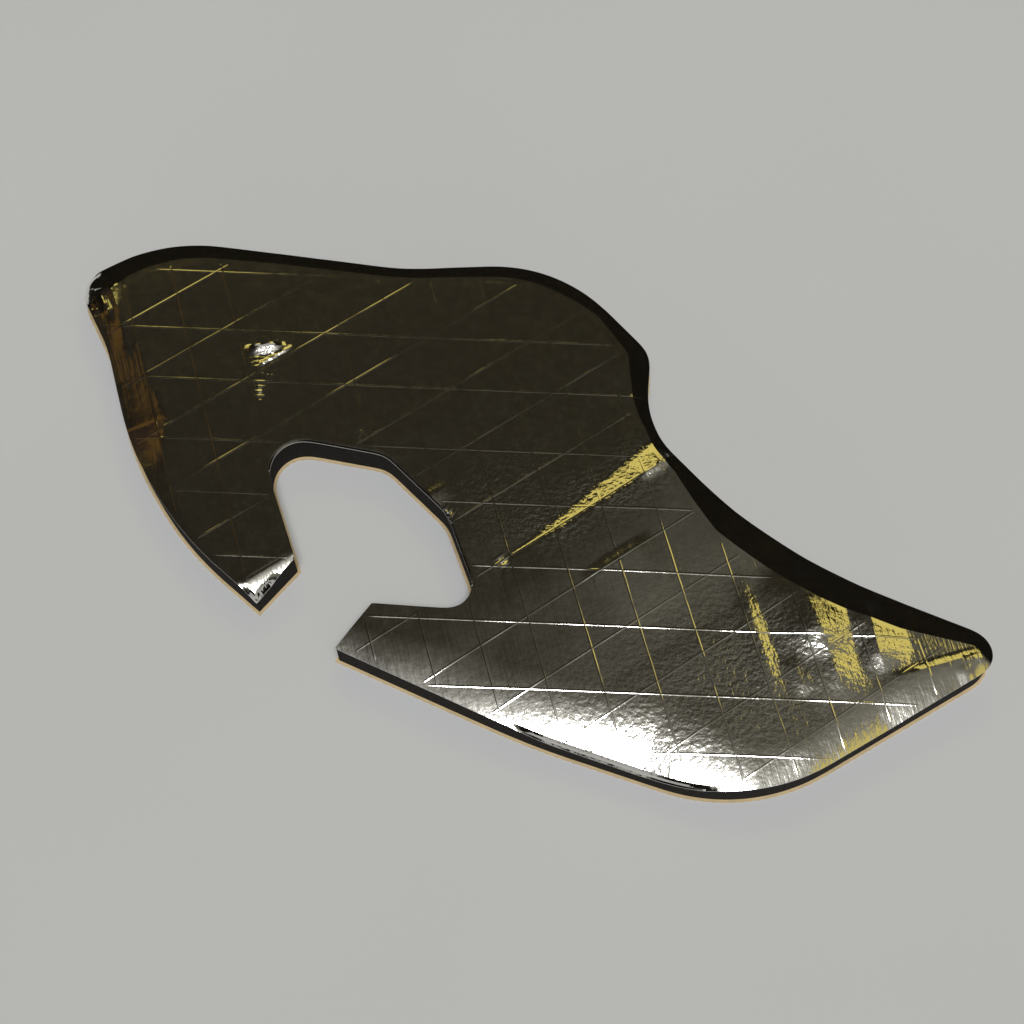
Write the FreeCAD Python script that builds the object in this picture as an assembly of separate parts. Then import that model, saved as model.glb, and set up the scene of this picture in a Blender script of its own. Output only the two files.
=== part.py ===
"""Heat insulation pad: a die-cut laminate of foil facing, foam core and release liner.

Millimetres, +Z up. The pad lies on its release liner. Its origin is the middle of
the underside. The outline is drawn on a drawing datum of its own, and the finished
solids are moved from that datum to the origin.
"""

import FreeCAD, Part
import math
import os
from FreeCAD import Vector

# Layer thicknesses, from the table up
LINER_THICKNESS = 0.2
FOAM_THICKNESS = 7.6
FOIL_THICKNESS = 0.2

# Cut edges: the die pressed the outer top edge down to a bevel, which the foil follows
LINER_LEDGE = 0.55
EDGE_BEVEL = 3.4
FOIL_LIP = 0.4
TIP_EASE = 1.0
TIP_RADIUS = EDGE_BEVEL + TIP_EASE

# Reinforcing yarns that show through the foil as raised lines
RIDGE_WIDTH = 0.7
RIDGE_HEIGHT = 0.2
WARP_PITCH = 9.73
WARP_ANGLE = -74.6
WARP_OFFSET = -3.6
WEFT_PITCH = 11.78
FLAT_WEFT_ANGLE = -2.5
FLAT_WEFT_OFFSET = -1.95
FLAT_WEFT_STAGGER = 0.47
STEEP_WEFT_ANGLE = 33.4
STEEP_WEFT_OFFSET = 1.95

# Corners of the foam outline on the drawing datum: x, y and blend radius, clockwise.
# The outer run has its top edge pressed down. A radius of 0 is a sharp corner.
OUTER_RUN = (
    ("hooked leg, inner corner", -40.9, -12.4, 0.0),
    ("hooked leg, tip", -47.8, -20.5, 0.0),
    ("hooked leg, outer curve", -62.4, -7.6, 65.0),
    ("left side, lower curve", -73.4, 10.8, 60.0),
    ("left side, soft bend", -79.1, 31.8, 25.0),
    ("head, left tip", -86.7, 46.8, TIP_RADIUS),
    ("head, crown", -69.0, 55.9, 33.0),
    ("head, shallow dip", -21.5, 49.1, 40.0),
    ("shoulder", 8.4, 50.5, 29.0),
    ("shoulder, lower bend", 27.1, 30.8, TIP_RADIUS + TIP_EASE),
    ("waist", 25.5, 14.0, 19.5),
    ("tail, first bend", 41.0, -1.9, 100.0),
    ("tail, second bend", 58.8, -14.6, 105.0),
    ("tail, upper tip", 87.5, -27.4, TIP_RADIUS),
    ("tail, lower tip", 89.5, -33.0, TIP_RADIUS),
    ("belly", 43.1, -60.2, 36.0),
    ("belly, front bend", 3.4, -46.6, 150.0),
    ("straight leg, front corner", -32.4, -30.1, 0.0),
)
NOTCH_RUN = (
    ("straight leg, back corner", -26.0, -21.6, 0.0),
    ("notch, throat", -5.1, -23.1, 4.6),
    ("notch, blunt corner", -12.2, -3.5, 2.0),
    ("notch, soft corner", -24.2, 8.7, 4.0),
    ("notch, deep end", -49.6, 13.7, 6.4),
)

FOAM_BOTTOM = LINER_THICKNESS
FOAM_TOP = FOAM_BOTTOM + FOAM_THICKNESS
FOIL_EDGE = FOAM_TOP - EDGE_BEVEL - FOIL_LIP
MATCH_TOLERANCE = 0.001


def corner_points():
    """The corners of the whole outline, in order."""
    return [Vector(x, y, 0) for _, x, y, _ in OUTER_RUN + NOTCH_RUN]


def corner_radii():
    """The blend radius of each corner, in the same order."""
    return [radius for _, _, _, radius in OUTER_RUN + NOTCH_RUN]


def is_pressed(side):
    """Whether a side of the outline, counted from its first corner, is on the outer run."""
    return side < len(OUTER_RUN) - 1


def side_directions(points):
    """The unit direction of each side, from its corner to the next one."""
    following = points[1:] + points[:1]
    return [(end - start).normalize() for start, end in zip(points, following)]


def outward(direction):
    """The outward normal of a side of a clockwise outline."""
    return Vector(-direction.y, direction.x, 0)


def grown_outline(outer_growth, notch_growth):
    """Corners and radii of the outline with its sides moved outwards in parallel."""
    points = corner_points()
    radii = corner_radii()
    directions = side_directions(points)
    growth = [outer_growth if is_pressed(side) else notch_growth for side in range(len(points))]
    grown = []
    for index, point in enumerate(points):
        before = outward(directions[index - 1])
        after = outward(directions[index])
        move_before = growth[index - 1]
        move_after = growth[index]
        spread = before.x * after.y - before.y * after.x
        move_x = (move_before * after.y - move_after * before.y) / spread
        move_y = (move_after * before.x - move_before * after.x) / spread
        radius = radii[index]
        if radius > 0:
            convex = spread < 0
            radius += move_after if convex else -move_after
        grown.append((point + Vector(move_x, move_y, 0), radius))
    return grown


def outline_edges(corners, height):
    """Lines and tangent arcs round the corners, each with a mark for the pressed run."""
    points = [point for point, _ in corners]
    directions = side_directions(points)
    lift = Vector(0, 0, height)
    starts = []
    ends = []
    arcs = []
    for index, (point, radius) in enumerate(corners):
        arriving = directions[index - 1]
        leaving = directions[index]
        half_turn = arriving.getAngle(leaving) / 2
        reach = radius * math.tan(half_turn)
        start = point - arriving * reach
        end = point + leaving * reach
        starts.append(start + lift)
        ends.append(end + lift)
        inward = leaving - arriving
        depth = radius / math.cos(half_turn) - radius
        middle = point + inward.normalize() * depth
        arcs.append(middle + lift)
    edges = []
    count = len(corners)
    for index in range(count):
        if corners[index][1] > 0:
            blend = Part.Arc(starts[index], arcs[index], ends[index])
            edges.append((blend.toShape(), is_pressed(index)))
        following = (index + 1) % count
        side = Part.LineSegment(ends[index], starts[following])
        edges.append((side.toShape(), is_pressed(index)))
    return edges


def outline_prism(corners, bottom, top):
    """The outline as a straight-walled solid."""
    edges = [edge for edge, _ in outline_edges(corners, bottom)]
    face = Part.Face(Part.Wire(edges))
    return face.extrude(Vector(0, 0, top - bottom))


def edge_middle(edge):
    """The point half way along an edge."""
    return edge.valueAt((edge.FirstParameter + edge.LastParameter) / 2)


def pressed_pad(growth):
    """The foam's form, grown outwards and upwards, with its outer top edge pressed down."""
    corners = grown_outline(growth, 0.0)
    top = FOAM_TOP + growth
    pad = outline_prism(corners, FOAM_BOTTOM, top)
    pressed = [edge_middle(edge) for edge, on_run in outline_edges(corners, top) if on_run]
    chosen = []
    for edge in pad.Edges:
        middle = edge_middle(edge)
        if any(middle.distanceToPoint(point) < MATCH_TOLERANCE for point in pressed):
            chosen.append(edge)
    bevel = EDGE_BEVEL + growth * (2 - math.sqrt(2))
    return pad.makeChamfer(bevel, chosen)


def yarn_strips(angle, pitch, offset, stagger, reach):
    """Flat strips along one yarn direction, one for each yarn that may cross the pad."""
    along = Vector(math.cos(math.radians(angle)), math.sin(math.radians(angle)), 0)
    across = Vector(-along.y, along.x, 0)
    count = int(reach / pitch) + 1
    run = along * reach
    strips = []
    for index in range(-count, count + 1):
        shift = stagger if index % 2 == 0 else -stagger
        centre = across * (offset + index * pitch + shift)
        near = centre - across * (RIDGE_WIDTH / 2)
        far = centre + across * (RIDGE_WIDTH / 2)
        loop = [near - run, near + run, far + run, far - run, near - run]
        strips.append(Part.Face(Part.makePolygon(loop)))
    return strips


def yarn_net(plan, height):
    """All three yarn directions within the plan, merged and raised through the height."""
    reach = plan.BoundBox.DiagonalLength / 2 + plan.BoundBox.Center.Length
    strips = yarn_strips(WARP_ANGLE, WARP_PITCH, WARP_OFFSET, 0.0, reach)
    strips += yarn_strips(
        FLAT_WEFT_ANGLE, WEFT_PITCH, FLAT_WEFT_OFFSET, FLAT_WEFT_STAGGER, reach)
    strips += yarn_strips(STEEP_WEFT_ANGLE, WEFT_PITCH, STEEP_WEFT_OFFSET, 0.0, reach)
    pieces = []
    for strip in strips:
        pieces += strip.common(plan).Faces
    net = pieces[0].multiFuse(pieces[1:])
    merged = Part.Shell(net.Faces).removeSplitter()
    return merged.extrude(Vector(0, 0, height))


def foam_core():
    """The foam: full thickness, pressed down on the outer run and square in the notch."""
    return pressed_pad(0.0)


def foil_facing(core):
    """The foil skin over the foam, with the yarn ridges raised in it."""
    sheet = pressed_pad(FOIL_THICKNESS)
    ridge_form = pressed_pad(FOIL_THICKNESS + RIDGE_HEIGHT)
    plan_edges = outline_edges(grown_outline(FOIL_THICKNESS, 0.0), 0.0)
    plan = Part.Face(Part.Wire([edge for edge, _ in plan_edges]))
    net = yarn_net(plan, FOAM_TOP + 2 * (FOIL_THICKNESS + RIDGE_HEIGHT))
    skin = sheet.fuse(ridge_form.common(net))
    reach = plan.BoundBox.DiagonalLength
    below = Part.makeBox(2 * reach, 2 * reach, FOIL_EDGE, Vector(-reach, -reach, 0))
    return skin.cut([below, core]).removeSplitter()


def release_liner():
    """The paper under the adhesive, standing out as a ledge all round."""
    return outline_prism(grown_outline(LINER_LEDGE, LINER_LEDGE), 0.0, LINER_THICKNESS)


def main():
    liner = release_liner()
    core = foam_core()
    parts = {
        "release_liner": liner,
        "foam_core": core,
        "foil_facing": foil_facing(core),
    }
    centre = liner.BoundBox.Center
    to_origin = Vector(-centre.x, -centre.y, 0)
    os.makedirs("parts", exist_ok=True)
    for node, shape in parts.items():
        shape.translate(to_origin)
        shape.exportStep(os.path.join("parts", node + ".step"))
        box = shape.BoundBox
        print(node, shape.ShapeType, len(shape.Solids), shape.isValid(), round(shape.Volume, 2),
              [round(v, 3) for v in (box.XMin, box.XMax, box.YMin, box.YMax, box.ZMin, box.ZMax)])
    print("drawing datum to origin", to_origin)


main()
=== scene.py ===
"""Looks of a heat insulation pad: yarn-reinforced foil over black foam on release paper.

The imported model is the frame. Outlines, layer heights and places come from it, and the
pieces here give it the pressed edges, folds, yarn ridges and finishes of the real pad.
Plan lengths are in millimetres on the part's own axes until a mesh is made.
"""

import math

import bpy
import numpy as np
from bpy.props import FloatProperty, FloatVectorProperty, IntProperty, PointerProperty
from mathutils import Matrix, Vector
from mathutils.geometry import delaunay_2d_cdt
from mathutils.kdtree import KDTree


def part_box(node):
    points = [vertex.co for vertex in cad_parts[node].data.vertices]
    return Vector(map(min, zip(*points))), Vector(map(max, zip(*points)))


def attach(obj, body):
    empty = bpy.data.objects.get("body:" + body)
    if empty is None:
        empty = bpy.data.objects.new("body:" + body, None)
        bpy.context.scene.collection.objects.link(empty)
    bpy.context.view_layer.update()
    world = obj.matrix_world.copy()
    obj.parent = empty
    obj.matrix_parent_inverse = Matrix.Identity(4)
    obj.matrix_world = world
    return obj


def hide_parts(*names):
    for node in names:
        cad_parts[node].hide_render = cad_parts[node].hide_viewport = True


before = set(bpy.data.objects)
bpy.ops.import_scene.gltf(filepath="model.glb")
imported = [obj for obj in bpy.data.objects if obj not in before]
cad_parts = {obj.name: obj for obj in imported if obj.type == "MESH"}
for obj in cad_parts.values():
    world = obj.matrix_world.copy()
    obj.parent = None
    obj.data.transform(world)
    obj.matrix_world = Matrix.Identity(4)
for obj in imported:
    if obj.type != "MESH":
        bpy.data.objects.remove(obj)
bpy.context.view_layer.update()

bl_info = {
    "name": "Heat insulation pad",
    "version": (1, 0, 0),
    "blender": (4, 5, 0),
    "location": "View3D > Sidebar > Heat pad",
    "description": "Builds the foil, yarns, foam and release paper of a die-cut heat pad",
    "category": "Object",
}

MM = 0.001
BODY = "root"

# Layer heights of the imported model
PAPER_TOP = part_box("release_liner")[1].z / MM
FOAM_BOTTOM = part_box("foam_core")[0].z / MM
FOAM_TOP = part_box("foam_core")[1].z / MM

# Outlines and meshes: spacing of the outline's points, how far its facets are smoothed, how
# level an underside's faces are, the distance within which a mesh's points merge, and the
# turns of a corner and of a sharp crease
OUTLINE_STEP = 0.45
OUTLINE_BLUR = 1.2
LEVEL_WITHIN = 0.01
MERGE_WITHIN = 1e-6
SHARP_TURN = math.radians(40)
CREASE_TURN = math.radians(11)

# The foil's mesh: depths of its rings along the rim, by how much a ring's point may fall short
# of its depth, the narrowest roll that it follows, how far its even grid and its crest lines
# keep from the cut, and the gap between its points as a share of the grid
RIM_RINGS = (0.15, 0.45, 0.85, 1.3)
RING_SLACK = 0.05
NARROWEST_ROLL = 1.8
GRID_INSET = 1.6
CREST_INSET = 2.0
POINT_GAP = 0.55

# The foam's mesh: grid, its distance from the cut, how far its top keeps under the foil away
# from the rim, the depths at which that starts and is full, and the thinnest foam
FOAM_GRID = 4.0
FOAM_INSET = 2.0
FOAM_SINK = 0.5
FOAM_SINK_DEPTHS = (0.5, 2.0)
THINNEST_FOAM = 0.05

# How fast the paper's cut edge wanders from point to point, in radians
RAGGED_RATE = 1.7

# How the die pressed the rolled rim down, station by station along it: place on the
# outline, width and drop of the roll, and its curl (1 is a flat facet, 2 a round one)
RIM_STATIONS = (
    ("hooked leg, inner corner", -42.6, -11.4, 1.0, 0.0, 1.0),
    ("hooked leg, end", -45.3, -14.5, 1.0, 0.0, 1.0),
    ("hooked leg, end, wrapped", -46.8, -16.3, 0.9, 0.9, 1.4),
    ("hooked leg, tip", -49.5, -19.5, 1.0, 1.1, 1.4),
    ("hooked leg, beside the tip", -51.0, -18.3, 0.9, 0.4, 1.4),
    ("hooked leg, after the tip", -53.0, -16.7, 1.0, 0.0, 1.0),
    ("hooked leg, outer curve", -64.0, -6.5, 1.0, 0.05, 1.0),
    ("left side, lower curve", -73.0, 6.0, 4.0, 0.3, 1.0),
    ("left side", -76.0, 15.0, 8.0, 1.35, 1.0),
    ("left side, soft bend", -78.8, 25.0, 6.5, 0.75, 1.0),
    ("head, below the tip", -85.0, 39.0, 5.0, 0.45, 1.0),
    ("head, left tip", -86.6, 46.5, 6.0, 2.0, 1.2),
    ("head, before the crown", -77.0, 52.5, 4.0, 1.2, 1.0),
    ("head, crown", -66.0, 55.2, 3.4, 1.1, 1.0),
    ("head, after the crown", -48.0, 53.5, 2.6, 0.9, 1.0),
    ("head, shallow dip", -23.0, 50.6, 2.3, 0.8, 1.0),
    ("shoulder, start", -2.0, 51.0, 2.8, 1.0, 1.0),
    ("shoulder", 10.0, 47.5, 3.0, 1.0, 1.0),
    ("shoulder, slope", 17.0, 40.5, 2.2, 0.8, 1.0),
    ("shoulder, lower bend", 25.4, 30.0, 4.2, 1.9, 1.2),
    ("waist", 25.0, 15.5, 1.8, 0.7, 1.0),
    ("waist, after the fold", 31.0, 7.5, 2.5, 0.9, 1.0),
    ("tail, first bend", 40.5, -1.5, 6.0, 2.2, 1.0),
    ("tail, second bend", 57.5, -14.0, 6.5, 2.3, 1.0),
    ("tail, upper side", 72.0, -20.5, 5.5, 2.0, 1.0),
    ("tail, upper tip", 85.0, -26.8, 3.0, 1.2, 1.0),
    ("tail, lower tip", 87.0, -32.5, 2.0, 0.3, 1.4),
    ("tail, lower side", 76.0, -39.3, 6.0, 0.42, 1.7),
    ("tail, lower bend", 67.0, -45.0, 8.0, 0.88, 2.0),
    ("belly, far end", 54.0, -53.0, 6.0, 0.72, 1.9),
    ("belly", 43.0, -57.0, 8.0, 0.55, 1.7),
    ("belly, low bend", 33.0, -55.8, 12.5, 1.5, 1.9),
    ("belly, middle", 22.0, -52.5, 15.0, 2.1, 2.0),
    ("belly, front bend", 4.0, -46.0, 12.0, 1.4, 2.0),
    ("straight leg, side", -14.0, -38.0, 9.5, 0.72, 1.7),
    ("straight leg, front corner", -34.0, -29.1, 4.5, 0.4, 1.6),
)
# Where the foil's edge curls down further: the height at which it ends, by station, and the
# curl's width. A plain edge is above all of the foil, so that nothing curls there.
CURLED_EDGES = {
    "head, left tip": 4.4,
    "belly, low bend": 6.1,
    "belly, middle": 4.9,
    "belly, front bend": 5.6,
}
PLAIN_EDGE = 9.0
EDGE_CURL_WIDTH = 1.0
# How far the cut turned the foil's edge down on the notch's far sides, and how wide
NOTCH_BURR = 0.12
NOTCH_BURR_WIDTH = 0.3

# Creases of the foil: place and direction of the crest, half its length, the widths of the
# slopes to its left and right, and its height. Directions are in degrees from +X. A crest is
# level over a share of its length and then runs out.
CREST_LEVEL = 0.3
CREASES = (
    ("tail, first facet", 56.4, -29.0, -75.0, 12.5, 5.4, 7.0, 0.47),
    ("tail, first facet, top", 53.0, -21.5, -75.0, 11.0, 11.0, 8.0, 0.62),
    ("tail, second facet", 65.2, -26.5, -80.0, 9.0, 6.0, 4.0, 0.60),
    ("tail, fold to the tip", 77.0, -32.3, 16.0, 14.0, 1.4, 14.0, 0.25),
    ("tail, left facet", 43.6, -27.0, -75.0, 14.0, 2.4, 3.0, 0.20),
    ("tail, short facet", 50.6, -34.5, -68.0, 4.5, 2.4, 2.4, 0.24),
    ("tail, tip facet", 82.0, -34.5, -70.0, 2.5, 1.8, 2.5, 0.14),
    ("waist, end facet", 25.6, 7.2, 36.0, 4.6, 3.0, 1.5, 0.34),
    ("waist, second fold", 18.4, -11.6, 33.4, 9.0, 1.6, 14.0, 0.24),
    ("notch, corner facet", -17.0, 1.5, 33.4, 4.5, 1.4, 3.0, 0.16),
    ("head, first fold", -78.5, 38.0, -78.0, 9.0, 1.6, 2.4, 0.18),
    ("head, second fold", -82.0, 42.0, -65.0, 5.0, 1.2, 1.6, 0.18),
    ("dent, front lip", -49.8, 32.6, 5.0, 4.6, 0.8, 1.6, 0.42),
    ("dent, yarn line", -48.0, 30.6, 33.4, 5.0, 0.7, 0.5, 0.14),
)
# The waist fold: its crest, measured square to the steep weft, the crest's two ends, the
# back slope's full width, where it starts and how far on it is full, its slope, the length of
# the low front, and a least width, so that none is 0
WAIST_CREST = -8.6
WAIST_CREST_ENDS = (-2.0, 34.0)
WAIST_BACK_WIDTH = 5.4
WAIST_BACK_START = -4.0
WAIST_BACK_RUN = 31.0
WAIST_BACK_SLOPE = 0.15
WAIST_FRONT_LENGTH = 30.0
LEAST_WIDTH = 1e-6
# The bend across the hooked leg's tip, along a steep weft yarn: its crest and the crest's two
# ends, its slope and how that grows, and the places in x and y where it starts and is full
LEG_CREST = 14.8
LEG_CREST_ENDS = (-53.0, -42.0)
LEG_SLOPE = 0.12
LEG_SLOPE_GROWTH = 0.045
LEG_FROM_X = (-36.0, -40.0)
LEG_FROM_Y = (-6.0, -9.0)
# Fine wrinkles: place, direction of their crests, reach along and across, spacing, height.
# Their crests wander by an amount, at a rate along and across, in radians.
WANDER = 0.5
WANDER_ALONG = 1.3
WANDER_ACROSS = 0.7
WRINKLES = (
    ("dent, column", -50.5, 22.8, 0.0, 1.1, 2.4, 1.05, 0.04),
    ("dent, corner", -51.4, 30.0, 10.0, 1.0, 1.4, 0.9, 0.025),
    ("hooked leg, tip", -48.2, -18.2, 125.0, 0.8, 2.8, 0.8, 0.03),
    ("head, left tip", -85.0, 44.0, -60.0, 2.5, 1.6, 1.1, 0.02),
    ("notch, far corner", -30.6, 14.2, 70.0, 1.8, 1.8, 1.0, 0.03),
    ("notch, blunt corner", -13.6, -2.4, 60.0, 1.0, 1.2, 0.9, 0.05),
    ("notch, throat", -3.4, -12.2, 40.0, 1.0, 1.2, 1.0, 0.065),
)

# Slackness of the foil between the yarns: height of each long shallow wave, its rates across
# the warp, the flat weft and the steep weft, in radians per millimetre, and its phase
SLACK_WAVES = (
    (0.012, 0.58, 0.0, 0.0, 0.4),
    (0.008, 0.83, 0.11, 0.0, 1.9),
    (0.016, -0.13, 0.31, 0.0, 0.7),
    (0.010, 0.0, 0.0, 0.47, 2.6),
)

# Where the foil's mesh is finer, with its own spacing and distance from the cut: place, reach
FINE_STEP = 0.26
FINE_INSET = 0.3
FINE_PATCHES = (
    ("dent", -49.8, 28.5, 7.5),
    ("hooked leg, tip", -47.5, -16.0, 5.0),
    ("head, left tip", -85.0, 44.0, 3.0),
    ("notch, far corner", -30.6, 14.2, 2.6),
    ("notch, blunt corner", -13.6, -2.4, 2.0),
    ("notch, throat", -3.4, -12.2, 2.0),
)

# Directions of the three yarn families
WARP_ANGLE = math.radians(-74.6)
FLAT_WEFT_ANGLE = math.radians(-2.5)
STEEP_WEFT_ANGLE = math.radians(33.4)

# Attributes of the foil's mesh: how much its crinkle and its yarns show. Both fade out over
# the roll of the edges that face the back, at depths past the roll, and the yarns at the cut
# too. An edge faces the back where its outward normal reaches that far towards +Y.
CRINKLE = "crinkle"
RIDGE_SHARE = "ridge_share"
FACES_BACK = 0.1
ROLL_FADE = (0.5, 1.8)
CUT_FADE = (0.1, 1.6)
# Where the foil is crumpled more than its even grain: place, reach and amount
EVEN_GRAIN = 0.05
CRUMPLED_PLACES = (
    ("waist fold, end", 24.0, 9.0, 6.0, 5.0, 0.55),
    ("waist fold, middle", 15.0, 2.0, 7.0, 4.0, 0.6),
    ("waist fold, start", 6.0, -5.0, 6.0, 3.5, 0.6),
    ("tail, upper side", 62.0, -27.0, 13.0, 9.0, 0.4),
    ("tail, middle", 42.0, -30.0, 20.0, 12.0, 0.38),
    ("belly", 25.0, -45.0, 30.0, 10.0, 0.3),
    ("head, dent", -49.0, 28.0, 5.0, 6.0, 0.5),
    ("notch, far side", -4.0, 4.0, 10.0, 10.0, 0.3),
)


def along(angle):
    """The unit direction at an angle from +X, in plan."""
    return np.array((math.cos(angle), math.sin(angle)))


def across(angle):
    """The unit direction square to an angle from +X, in plan."""
    return np.array((-math.sin(angle), math.cos(angle)))


class FoilSizes(bpy.types.PropertyGroup):
    """Sizes and colour of the foil facing."""
    thickness: FloatProperty(
        name="Thickness", description="Thickness of the foil laminate",
        default=0.2 * MM, min=0.02 * MM, subtype="DISTANCE", unit="LENGTH", precision=5)
    overhang: FloatProperty(
        name="Overhang", description="How far the foil stands out past the foam",
        default=0.15 * MM, min=0.0, subtype="DISTANCE", unit="LENGTH", precision=5)
    grid: FloatProperty(
        name="Grid", description="Spacing of the foil's mesh",
        default=0.62 * MM, min=0.4 * MM, subtype="DISTANCE", unit="LENGTH", precision=5)
    colour: FloatVectorProperty(
        name="Colour", description="Colour of the bare aluminium",
        default=(0.84, 0.82, 0.77), min=0.0, max=1.0, size=3, subtype="COLOR")
    roughness: FloatProperty(
        name="Roughness", description="Blur of the reflections",
        default=0.1, min=0.0, max=1.0, subtype="FACTOR")


class YarnSizes(bpy.types.PropertyGroup):
    """Sizes of the reinforcing yarns that show through the foil."""
    warp_pitch: FloatProperty(
        name="Warp pitch", description="Spacing of the warp yarns",
        default=9.73 * MM, min=MM, subtype="DISTANCE", unit="LENGTH", precision=5)
    weft_pitch: FloatProperty(
        name="Weft pitch", description="Spacing of the two sets of weft yarns",
        default=11.78 * MM, min=MM, subtype="DISTANCE", unit="LENGTH", precision=5)
    width: FloatProperty(
        name="Ridge width", description="Width of the foil's ridge over a yarn",
        default=0.5 * MM, min=0.1 * MM, subtype="DISTANCE", unit="LENGTH", precision=5)
    height: FloatProperty(
        name="Ridge height", description="Height of the foil's ridge over a yarn",
        default=0.025 * MM, min=0.01 * MM, subtype="DISTANCE", unit="LENGTH", precision=5)
    seed: IntProperty(
        name="Seed", description="Seed of the yarns' unevenness", default=4, min=0)


class FoamSizes(bpy.types.PropertyGroup):
    """Colour and cells of the foam core."""
    cell: FloatProperty(
        name="Cell", description="Size of the cut cells on the wall",
        default=0.32 * MM, min=0.05 * MM, subtype="DISTANCE", unit="LENGTH", precision=5)
    colour: FloatVectorProperty(
        name="Colour", description="Colour of the foam",
        default=(0.022, 0.02, 0.018), min=0.0, max=1.0, size=3, subtype="COLOR")


class PaperSizes(bpy.types.PropertyGroup):
    """Colour and cut of the release paper."""
    colour: FloatVectorProperty(
        name="Colour", description="Colour of the kraft paper",
        default=(0.68, 0.52, 0.29), min=0.0, max=1.0, size=3, subtype="COLOR")
    raggedness: FloatProperty(
        name="Raggedness", description="Unevenness of the paper's cut edge",
        default=0.05 * MM, min=0.0, subtype="DISTANCE", unit="LENGTH", precision=5)


class StageSizes(bpy.types.PropertyGroup):
    """Floor, light and camera."""
    floor_colour: FloatVectorProperty(
        name="Floor", description="Colour of the floor",
        default=(0.640, 0.648, 0.662), min=0.0, max=1.0, size=3, subtype="COLOR")
    floor_radius: FloatProperty(
        name="Floor radius", description="Radius of the floor",
        default=8.0, min=0.5, subtype="DISTANCE", unit="LENGTH")
    key_strength: FloatProperty(
        name="Key", description="Strength of the soft white key light",
        default=1.8, min=0.0)
    key_spread: FloatProperty(
        name="Key spread", description="Angle that the key light covers",
        default=math.radians(22), min=0.01, max=math.pi, subtype="ANGLE", unit="ROTATION")
    camera_elevation: FloatProperty(
        name="Camera elevation", description="Angle of the camera above the floor",
        default=math.radians(68), min=0.0, max=math.pi / 2, subtype="ANGLE", unit="ROTATION")
    camera_distance: FloatProperty(
        name="Camera distance", description="Distance from the camera to its aim",
        default=386.8 * MM, min=0.05, subtype="DISTANCE", unit="LENGTH", precision=4)
    lens: FloatProperty(
        name="Lens", description="Focal length of the camera in millimetres",
        default=70.3125, min=10.0)


class Outline:
    """A closed plan outline: even points, outward normals and a mark for the pressed run.

    Its sharp corners part it into the long outer run, the notch and the ends of the two
    legs. The outer run and the hooked leg's end are pressed, and the rest is cut square.
    """

    def __init__(self, layer):
        loop = foot_loop(layer)
        corners = sharp_corners(loop)
        stretches = []
        for start, end in zip(corners, corners[1:] + [corners[0] + len(loop)]):
            picks = [index % len(loop) for index in range(start, end + 1)]
            stretches.append(blurred(resampled(loop[picks])))
        by_length = sorted(stretches, key=lambda run: -len(run))
        hooked_end = min(by_length[2:], key=lambda run: run[:, 0].mean())
        points = []
        pressed = []
        for run in stretches:
            is_pressed = run is by_length[0] or run is hooked_end
            points.append(run[:-1])
            pressed += [is_pressed] * (len(run) - 1)
        self.points = np.concatenate(points)
        self.pressed = np.array(pressed)
        ahead = np.roll(self.points, -1, axis=0) - self.points
        ahead /= np.linalg.norm(ahead, axis=1)[:, None]
        tangent = ahead + np.roll(ahead, 1, axis=0)
        tangent /= np.linalg.norm(tangent, axis=1)[:, None]
        self.normals = np.stack((tangent[:, 1], -tangent[:, 0]), axis=1)
        self.tree = plan_tree(self.points, range(len(self.points)))
        self.pressed_tree = plan_tree(self.points, np.nonzero(self.pressed)[0])

    def nearest(self, points, pressed_only=False):
        """The index of the nearest outline point to each point, and the depth inside it."""
        tree = self.pressed_tree if pressed_only else self.tree
        found = [tree.find((x, y, 0.0))[1] for x, y in points]
        away = points - self.points[found]
        inwards = -np.einsum("ij,ij->i", away, self.normals[found])
        return np.array(found), np.copysign(np.linalg.norm(away, axis=1), inwards)

    def grown(self, growth):
        """The outline's points moved outwards by one growth or by one each."""
        return self.points + self.normals * np.reshape(growth, (-1, 1))


def plan_tree(points, indices):
    """A search tree of chosen plan points."""
    tree = KDTree(len(indices))
    for index in indices:
        tree.insert((*points[index], 0.0), int(index))
    tree.balance()
    return tree


def foot_loop(layer):
    """The boundary of a layer's underside, anticlockwise, as plan points in millimetres."""
    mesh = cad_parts[layer].data
    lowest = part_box(layer)[0].z
    places = {}
    count = {}
    for polygon in mesh.polygons:
        corners = [mesh.vertices[index].co for index in polygon.vertices]
        if any(corner.z - lowest > LEVEL_WITHIN * MM for corner in corners):
            continue
        ids = []
        for corner in corners:
            key = (round(corner.x / MM, 3), round(corner.y / MM, 3))
            ids.append(places.setdefault(key, len(places)))
        for start, end in zip(ids, ids[1:] + ids[:1]):
            edge = (min(start, end), max(start, end))
            count[edge] = count.get(edge, 0) + 1
    links = {}
    for (start, end), uses in count.items():
        if uses == 1:
            links.setdefault(start, []).append(end)
            links.setdefault(end, []).append(start)
    first = next(iter(links))
    order = [first, links[first][0]]
    while True:
        ahead = [index for index in links[order[-1]] if index != order[-2]]
        if ahead[0] == first:
            break
        order.append(ahead[0])
    points = np.array(list(places))[order]
    following = np.roll(points, -1, axis=0)
    turn = (points[:, 0] * following[:, 1] - points[:, 1] * following[:, 0]).sum()
    return points if turn > 0 else points[::-1]


def sharp_corners(loop):
    """Indices of the loop's corners that turn at once."""
    ahead = np.roll(loop, -1, axis=0) - loop
    behind = np.roll(ahead, 1, axis=0)
    turn = np.arctan2(
        behind[:, 0] * ahead[:, 1] - behind[:, 1] * ahead[:, 0],
        np.einsum("ij,ij->i", behind, ahead))
    return [int(index) for index in np.nonzero(np.abs(turn) > SHARP_TURN)[0]]


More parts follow.
